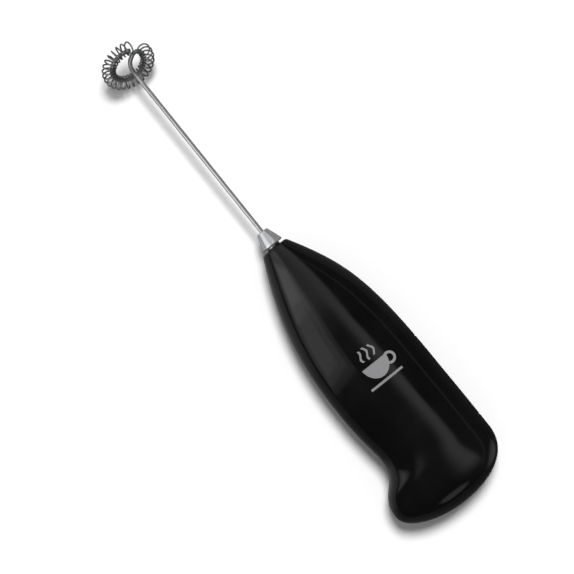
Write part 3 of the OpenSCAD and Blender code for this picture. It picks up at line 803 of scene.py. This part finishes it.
def cup_mask(m, centre_x, centre_y):
    """1 inside a plain pictogram of a steaming cup, seen with the nose upwards; centre in the row frame."""
    place = m.node("SeparateXYZ", {"Vector": m.where}).outputs
    u = m.math("MULTIPLY", m.math("SUBTRACT", place["Y"], centre_y), 1 / MM)
    v = m.math("MULTIPLY", m.math("SUBTRACT", centre_x, place["X"]), 1 / MM)

    def less(a, b):
        return m.math("LESS_THAN", a, b)

    def both(*flags):
        flag = flags[0]
        for other in flags[1:]:
            flag = m.math("MULTIPLY", flag, other)
        return flag

    def distance(cu, cv, su=1.0, sv=1.0):
        du = m.math("DIVIDE", m.math("SUBTRACT", u, cu), su)
        dv = m.math("DIVIDE", m.math("SUBTRACT", v, cv), sv)
        return m.math("SQRT", m.math("ADD", m.math("MULTIPLY", du, du), m.math("MULTIPLY", dv, dv)))

    def near(value, middle, half):
        return less(m.math("ABSOLUTE", m.math("SUBTRACT", value, middle)), half)

    bowl = both(less(distance(0, 1.2, 5.4, 6.2), 1), less(v, 1.2))
    handle = near(distance(5.7, -0.9), 1.95, 0.5)
    saucer = both(near(v, -6.6, 0.45), near(u, 0, 7.2))
    mask = m.math("MAXIMUM", m.math("MAXIMUM", bowl, handle), saucer)
    for k in (-1, 0, 1):
        sway = m.math("MULTIPLY", m.math("SINE", m.math("ADD", m.math("MULTIPLY", v, 1.25), 0.9 * k)), 0.55)
        strand = both(near(m.math("SUBTRACT", u, sway), 2.6 * k, 0.42), near(v, 5.6, 2.6 - 0.35 * abs(k)))
        mask = m.math("MAXIMUM", mask, strand)
    return mask


def gloss_black(name, colour=(0.0024, 0.0024, 0.0026), print_at=None, smooth=0.09):
    """High-gloss moulded plastic: faint flow waves, dust in the gloss and hairline rubs."""
    m = Finish(name, colour, smooth, Specular_IOR_Level=0.5, IOR=1.49)
    smudge = m.noise(14.0, 4.0)
    rub = m.noise((9.0, 0.12, 0.12), 2.0)
    dust = m.noise(0.22, 2.0)
    rough = m.math("ADD", m.spread(smudge, smooth - 0.02, smooth + 0.05),
                   m.spread(rub, 0.0, 0.02, 0.55, 0.75))
    rough = m.math("ADD", rough, m.spread(dust, 0.0, 0.12, 0.7, 0.8))
    tone = m.mix(m.spread(smudge, 0.0, 1.0), colour, tuple(c * 1.4 + 0.0004 for c in colour))
    waves = m.bump(m.noise(7.0, 1.0), 0.012)
    if print_at is not None:
        mask = cup_mask(m, *print_at)
        ink = m.spread(m.noise(0.35, 3.0), 0.82, 1.0, 0.3, 0.45)
        mask = m.math("MULTIPLY", mask, ink)
        tone = m.mix(mask, tone, (0.235, 0.235, 0.24))
        rough = m.math("ADD", m.math("MULTIPLY", rough, m.math("SUBTRACT", 1.0, mask)),
                       m.math("MULTIPLY", mask, 0.42))
        m.bump(mask, 0.012, waves)
    m.colour(tone)
    m.roughness(rough)
    return m.material


def satin_black(name):
    """Moulded plastic with a fine, matt grain."""
    m = Finish(name, (0.010, 0.010, 0.011), 0.38, IOR=1.49)
    grain = m.noise(0.16, 3.0)
    m.colour(m.mix(m.spread(grain, 0.0, 1.0), (0.003, 0.003, 0.0035), (0.006, 0.006, 0.0065)))
    m.roughness(m.spread(m.noise(5.0), 0.32, 0.44))
    m.bump(grain, 0.02)
    return m.material


def drawn_metal(name, colour, roughness, along, grain=0.05, stain=0.12, depth=0.004, metallic=1.0,
                painted_shade_end=None):
    """Metal with fine lines along one axis and slow changes of tone. along is the line's (x, y, z) stretch.

    The last argument gives (x where the tone starts to fall, x where it is lowest, lowest tone) in the row
    frame: a painted shade that darkens the metal towards one end.
    """
    m = Finish(name, colour, roughness, metallic)
    lines = m.noise(tuple(grain * s for s in along), 3.0)
    cloud = m.noise(2.6, 3.0)
    dark = tuple(c * (1 - stain) for c in colour)
    tone = m.mix(m.math("MULTIPLY", m.spread(lines, 0.2, 1.0), m.spread(cloud, 0.6, 1.0)), dark, colour)
    if painted_shade_end is not None:
        # Painted shade: the tone falls along x to its lowest at one end of the wire
        full_x, dark_x, lowest = painted_shade_end
        place = m.node("SeparateXYZ", {"Vector": m.where}).outputs["X"]
        fall = m.spread(place, 1.0, 0.0, dark_x, full_x)
        tone = m.mix(fall, tone, tuple(c * lowest for c in colour))
    m.colour(tone)
    m.roughness(m.math("ADD", m.spread(lines, roughness * 0.8, roughness * 1.2),
                       m.spread(cloud, -0.02, 0.03)))
    m.bump(lines, depth)
    return m.material


def turned_metal(name, colour, roughness, pitch=0.16, depth=0.004, metallic=1.0):
    """Metal turned about the spin axis: fine rings along x, broken up by a little grain."""
    m = Finish(name, colour, roughness, metallic)
    rings = m.noise((pitch, 60.0, 60.0), 3.0)
    cloud = m.noise(3.0, 3.0)
    m.colour(m.mix(m.math("MULTIPLY", m.spread(rings, 0.3, 1.0), m.spread(cloud, 0.7, 1.0)),
                   tuple(c * 0.82 for c in colour), colour))
    m.roughness(m.math("ADD", m.spread(rings, roughness * 0.8, roughness * 1.25),
                       m.spread(cloud, -0.02, 0.03)))
    m.bump(rings, depth)
    return m.material


def grainy(name, colour, roughness, size, metallic=0.0, contrast=0.35, depth=0.02):
    """Pressed, sintered or moulded matter with an even grain."""
    m = Finish(name, colour, roughness, metallic)
    grain = m.noise(size, 3.0)
    cloud = m.noise(4.0, 2.0)
    m.colour(m.mix(m.spread(grain, 0.0, 1.0), tuple(c * (1 - contrast) for c in colour), colour))
    m.roughness(m.math("ADD", m.spread(grain, roughness + 0.08, roughness - 0.06),
                       m.spread(cloud, -0.03, 0.03)))
    m.bump(grain, depth)
    return m.material


def banded(name, colour, dark, roughness, pitch, axis, metallic=1.0, depth=0.05):
    """Stacked sheets or laid wires: even bands of a pitch across one axis, with painted shade in the groove
    of each band.
    """
    m = Finish(name, colour, roughness, metallic)
    place = m.node("SeparateXYZ", {"Vector": m.where}).outputs[axis]
    wave = m.math("SINE", m.math("MULTIPLY", place, 2 * math.pi / (pitch * MM)))
    ridge = m.spread(wave, 0.0, 1.0, -1.0, 0.2)
    # Painted shade: the dark colour fills the grooves of the bump between the ridges
    m.colour(m.mix(m.math("MULTIPLY", ridge, m.spread(m.noise(0.8), 0.7, 1.0)), dark, colour))
    m.roughness(m.spread(m.noise(0.4), roughness - 0.05, roughness + 0.08))
    m.bump(ridge, depth)
    return m.material


def cell_sleeve():
    """Printed plastic sleeve: a dark body and a warm band at the button end, no lettering."""
    m = Finish("cell_sleeve", (0.02, 0.05, 0.12), 0.28, IOR=1.5)
    place = m.node("SeparateXYZ", {"Vector": m.where}).outputs
    middle = nose_face + (BAY_X + BAY_LENGTH / 2) * MM
    # The two cells lie in opposite directions, so the band sits at the front of one and the rear of the other
    flip = m.math("SUBTRACT", m.math("MULTIPLY", m.math("GREATER_THAN", place["Y"], DOOR_Y * MM), 2.0), 1.0)
    ahead = m.math("MULTIPLY", m.math("SUBTRACT", middle, place["X"]), flip)
    band = m.math("GREATER_THAN", ahead, 9 * MM)
    line = m.math("LESS_THAN", m.math("ABSOLUTE", m.math("SUBTRACT", ahead, 8 * MM)), 0.5 * MM)
    tone = m.mix(band, (0.018, 0.045, 0.11), (0.62, 0.27, 0.05))
    tone = m.mix(line, tone, (0.7, 0.7, 0.7))
    speck = m.noise(0.2, 2.0)
    m.colour(m.mix(m.spread(speck, 0.0, 0.2), tone, (0.35, 0.35, 0.35)))
    m.roughness(m.spread(m.noise(3.0), 0.2, 0.34))
    m.bump(m.noise(1.4, 1.0), 0.01)
    return m.material


def insulation(name, colour):
    """Soft plastic round a wire."""
    m = Finish(name, colour, 0.4, IOR=1.48)
    cloud = m.noise(0.7, 2.0)
    m.colour(m.mix(m.spread(cloud, 0.0, 1.0), tuple(c * 0.75 for c in colour), colour))
    m.roughness(m.spread(cloud, 0.34, 0.46))
    m.bump(m.noise(0.25, 2.0), 0.01)
    return m.material


# Middle of the printed cup on the front face
print_place = (nose_face + 57.0 * MM, 2.0 * MM)
silver = (0.78, 0.79, 0.80)
steel = (0.64, 0.65, 0.66)
copper = (0.72, 0.34, 0.18)
bronze = (0.62, 0.42, 0.2)
# The wire's colour is painted darker from the straight shaft to the ring: painted shade where the coil lies
# over the ring
ring_painted_shade = (nose_face - (REACH - 6.5) * MM, nose_face - (REACH - 3.5) * MM, 0.4)
finishes = {
    "front_shell": gloss_black("shell_black", print_at=print_place),
    "back_shell": gloss_black("back_black"),
    "battery_door": gloss_black("door_black", (0.003, 0.003, 0.0033), smooth=0.14),
    "press_bar": satin_black("bar_black"),
    "shell_screws": turned_metal("screw_steel", (0.62, 0.62, 0.60), 0.28, 0.1),
    "switch_leaf": drawn_metal("contact_bronze", bronze, 0.26, (40, 40, 1)),
    "motor_can": drawn_metal("can_steel", (0.66, 0.67, 0.68), 0.26, (60, 1, 1), 0.08),
    "motor_end_cap": grainy("cap_nylon", (0.72, 0.70, 0.63), 0.48, 0.3, contrast=0.08, depth=0.01),
    "motor_magnets": grainy("magnet_ferrite", (0.045, 0.045, 0.05), 0.62, 0.12, contrast=0.4),
    "motor_bushes": grainy("bush_bronze", bronze, 0.42, 0.09, 1.0),
    "motor_brushes": grainy("brush_copper", (0.5, 0.26, 0.15), 0.4, 0.12, 1.0),
    "motor_shaft": turned_metal("shaft_steel", (0.72, 0.72, 0.73), 0.18, 0.06),
    "armature_core": banded("core_steel", (0.42, 0.42, 0.43), (0.12, 0.12, 0.125), 0.4, 0.5, "X"),
    "armature_windings": banded("winding_copper", (0.68, 0.24, 0.10), (0.14, 0.04, 0.02), 0.25, 0.28,
                                "Y"),
    "commutator": turned_metal("commutator_copper", copper, 0.25, 0.12),
    "cell_cores": turned_metal("cell_metal", (0.70, 0.70, 0.69), 0.24, 0.2),
    "cell_sleeves": cell_sleeve(),
    "contact_springs": drawn_metal("spring_steel", (0.70, 0.70, 0.70), 0.24, (1, 6, 6)),
    "front_plates": drawn_metal("plate_steel", (0.70, 0.70, 0.69), 0.28, (1, 60, 1)),
    "wire_positive": insulation("wire_red", (0.42, 0.02, 0.015)),
    "wire_negative": insulation("wire_black", (0.02, 0.02, 0.022)),
    "coupling_hub": banded("hub_plastic", (0.66, 0.67, 0.68), (0.03, 0.03, 0.033), 0.22, 0.9, "X"),
    "whisk_cone": turned_metal("cone_silver", silver, 0.22, 0.14, metallic=0.8),
    "whisk_shaft": drawn_metal("whisk_steel", steel, 0.2, (50, 1, 1), 0.06, metallic=0.8,
                               painted_shade_end=ring_painted_shade),
    "whisk_coil": drawn_metal("coil_steel", (0.42, 0.42, 0.43), 0.22, (1, 1, 1), 0.4),
}
finishes["switch_contact"] = finishes["switch_leaf"]
finishes["rear_link"] = finishes["front_plates"]


def dress(obj, material):
    obj.data.materials.clear()
    obj.data.materials.append(material)


def stand_for(obj, node, body):
    """A detailed piece takes the place of a CAD node."""
    dress(obj, finishes[node])
    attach(obj, body)
    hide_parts(node)


for name, node in nodes.items():
    dress(node, finishes[name])

stand_for(shell("front_shell_skin", True), "front_shell", "housing")
stand_for(shell("back_shell_skin", False), "back_shell", "housing")
stand_for(battery_door(), "battery_door", "battery_door")
stand_for(press_bar(), "press_bar", "press_bar")
stand_for(shell_screws(), "shell_screws", "housing")
stand_for(cone_piece(), "whisk_cone", "rotor")
stand_for(whisk_wire(), "whisk_shaft", "rotor")
stand_for(whisk_spring(), "whisk_coil", "rotor")


# ---- Floor, light and camera -------------------------------------------------------------------------

# The camera looks straight down on the front face, turned so that the whisk points up and to the left
RIGHT = Vector((0.6257, 0.7801, 0))
UP = Vector((-0.7801, 0.6257, 0))
AIM = Vector((nose_face + 14.4 * MM, -5.5 * MM, spin_axis_z))
DISTANCE = 1.2
FIELD = 212.4 * MM
SENSOR = 36

# Strength of the even light of the room and of the key light
AMBIENT = 0.26
KEY = 3.05
KEY_WIDTH = 0.3

# Soft boxes over the concave side. Their planes face the way of WINDOW_WAY, and v runs up along WINDOW_RISE.
# Each has its own distance, because light planes that coincide would hide each other.
WINDOW_WAY = Vector((0, -0.866, 0.5))
WINDOW_RISE = Vector((0, 0.5, 0.866))
# x from, x to, v from, v to and distance in millimetres, then radiance
WINDOWS = (
    (-170, 58, -34, 115, 102, 0.27),
    (-170, 53, -22, 92, 101, 0.27),
    (-170, 48, -5, 62, 100, 0.27),
    (-76, 8, -12, 88, 99, 0.33),
    (-62, -6, 0, 70, 98, 0.33),
)

# Round panels that only polished surfaces see: direction, full and outer half angle in degrees, radiance
PANELS = (
    ((0.94, -0.03, 0.35), 5, 11, 0.46),
    ((0.68, 0.7, -0.16), 7, 24, 0.45),
)


def camera():
    """The photograph's camera."""
    data = bpy.data.cameras.new("camera")
    data.sensor_width = SENSOR
    data.lens = SENSOR * DISTANCE / FIELD
    data.clip_start = 0.01
    data.clip_end = 20
    obj = bpy.data.objects.new("camera", data)
    bpy.context.scene.collection.objects.link(obj)
    obj.matrix_world = Matrix.Translation(AIM + Vector((0, 0, DISTANCE))) @ Matrix(
        (RIGHT, UP, (0, 0, 1))).transposed().to_4x4()
    bpy.context.scene.camera = obj


def floor():
    """A pale floor that is seen from above only."""
    size = 3.0
    corners = [(-size, -size, 0), (size, -size, 0), (size, size, 0), (-size, size, 0)]
    mesh = bpy.data.meshes.new("floor")
    mesh.from_pydata(corners, [], [(0, 1, 2, 3)])
    obj = bpy.data.objects.new("floor", mesh)
    bpy.context.scene.collection.objects.link(obj)
    m = Finish("floor_white", (0.9, 0.9, 0.9), 0.9, Specular_IOR_Level=0.0)
    m.colour(m.mix(m.spread(m.noise(400.0), 0.0, 1.0), (0.895, 0.895, 0.895), (0.905, 0.905, 0.905)))
    out = m.tree.nodes["Material Output"]
    clear = m.node("BsdfTransparent").outputs[0]
    facing = m.node("NewGeometry").outputs["Backfacing"]
    shown = m.node("MixShader", {0: facing, 1: m.shader.outputs[0], 2: clear}).outputs[0]
    m.tree.links.new(shown, out.inputs["Surface"])
    dress(obj, m.material)
    obj.visible_glossy = False


def sun(name, way, irradiance, width):
    """A soft distant light from a direction. Polished surfaces see the studio in its place."""
    data = bpy.data.lights.new(name, "SUN")
    data.energy = irradiance
    data.angle = width
    obj = bpy.data.objects.new(name, data)
    bpy.context.scene.collection.objects.link(obj)
    obj.rotation_mode = "QUATERNION"
    obj.rotation_quaternion = Vector(way).normalized().to_track_quat("Z", "Y")
    obj.visible_glossy = False


def window(x0, x1, v0, v1, away, radiance):
    """A soft box that only polished surfaces see; v runs up its plane, which leans over the concave side."""
    width, height = (x1 - x0) * MM, (v1 - v0) * MM
    data = bpy.data.lights.new("window", "AREA")
    data.shape = "RECTANGLE"
    data.size = width
    data.size_y = height
    data.energy = radiance * math.pi * width * height
    obj = bpy.data.objects.new("window", data)
    bpy.context.scene.collection.objects.link(obj)
    obj.rotation_mode = "QUATERNION"
    obj.rotation_quaternion = WINDOW_WAY.to_track_quat("Z", "Y")
    obj.location = (Vector((nose_face, 0, spin_axis_z)) + WINDOW_WAY * away * MM
                    + Vector(((x0 + x1) / 2, 0, 0)) * MM + WINDOW_RISE * (v0 + v1) / 2 * MM)
    obj.visible_camera = False
    obj.visible_diffuse = False
    obj.visible_volume_scatter = False


def world():
    """An even white room; in polished surfaces it is a dark studio with a few soft panels."""
    made = bpy.data.worlds.new("studio")
    bpy.context.scene.world = made
    made.use_nodes = True
    tree = made.node_tree
    tree.nodes.clear()

    def node(kind, inputs=None, **settings):
        n = tree.nodes.new("ShaderNode" + kind)
        for key, value in settings.items():
            setattr(n, key, value)
        for key, value in (inputs or {}).items():
            if isinstance(value, bpy.types.NodeSocket):
                tree.links.new(value, n.inputs[key])
            else:
                n.inputs[key].default_value = value
        return n

    def calc(operation, a, b):
        return node("Math", {0: a, 1: b}, operation=operation).outputs[0]

    def step(value, start, end, at_start=0.0, at_end=1.0):
        """A smooth change from at_start to at_end while the value goes from start to end."""
        inputs = {"Value": value, "From Min": start, "From Max": end, "To Min": at_start, "To Max": at_end}
        return node("MapRange", inputs, interpolation_type="SMOOTHSTEP").outputs[0]

    def total(*terms):
        value = terms[0]
        for term in terms[1:]:
            value = calc("ADD", value, term)
        return value

    def product(*factors):
        value = factors[0]
        for factor in factors[1:]:
            value = calc("MULTIPLY", value, factor)
        return value

    direction = node("TexCoord").outputs["Generated"]
    x, y, z = node("SeparateXYZ", {"Vector": direction}).outputs

    def panel(way, inner, outer, radiance):
        """A round soft panel: full inside the inner angle, gone at the outer one."""
        inputs = {0: direction, 1: Vector(way).normalized()}
        near = node("VectorMath", inputs, operation="DOT_PRODUCT").outputs["Value"]
        return step(near, math.cos(math.radians(outer)), math.cos(math.radians(inner)), 0.0, radiance)

    # Overhead the studio is grey on the whisk's side, brightens towards +y and ends there in a bent line
    above = calc("MAXIMUM", z, 0.05)
    aside = calc("DIVIDE", x, above)
    line = calc("ADD", calc("MAXIMUM", calc("MULTIPLY", aside, -0.8), calc("MULTIPLY", aside, 0.55)), 0.34)
    share = calc("DIVIDE", calc("DIVIDE", y, above), line)
    grey = product(step(x, 0.03, -0.2, 0.02, 0.36), step(y, -0.5, -0.25))
    rise = product(step(share, 0.0, 0.6), step(x, -0.2, 0.05, 0.16, 0.58))
    overhead = product(total(grey, rise), step(share, 1.1, 0.8), step(z, 0.02, 0.12), step(x, 0.85, 0.5))
    # A thin strip light stands low along the convex side
    slope = calc("DIVIDE", z, calc("MAXIMUM", y, 0.05))
    thin = product(step(slope, 0.58, 0.66), step(slope, 0.78, 0.7), step(y, 0.3, 0.5), 0.16)
    # Below the horizon the table is dimly lit, most on the concave side and towards the whisk
    below = product(step(z, 0.06, -0.04), step(y, 0.4, -0.6, 0.08, 0.3), step(x, 0.1, -0.25, 0.3, 1.0))
    dim = 0.03
    gloss = total(overhead, thin, below, dim, *[panel(*values) for values in PANELS])
    ray = node("LightPath").outputs
    strength = node("Mix", {0: ray["Is Glossy Ray"], 2: AMBIENT, 3: gloss}, data_type="FLOAT").outputs[0]
    strength = node("Mix", {0: ray["Is Camera Ray"], 2: strength, 3: 1.0}, data_type="FLOAT").outputs[0]
    background = node("Background", {"Color": (1, 1, 1, 1), "Strength": strength})
    tree.links.new(background.outputs[0], node("OutputWorld").inputs["Surface"])


camera()
floor()
world()
for values in WINDOWS:
    window(*values)
sun("key", UP * 0.38 + RIGHT * 0.02 + Vector((0, 0, 1)), KEY, KEY_WIDTH)
bpy.context.scene.view_settings.view_transform = "Standard"
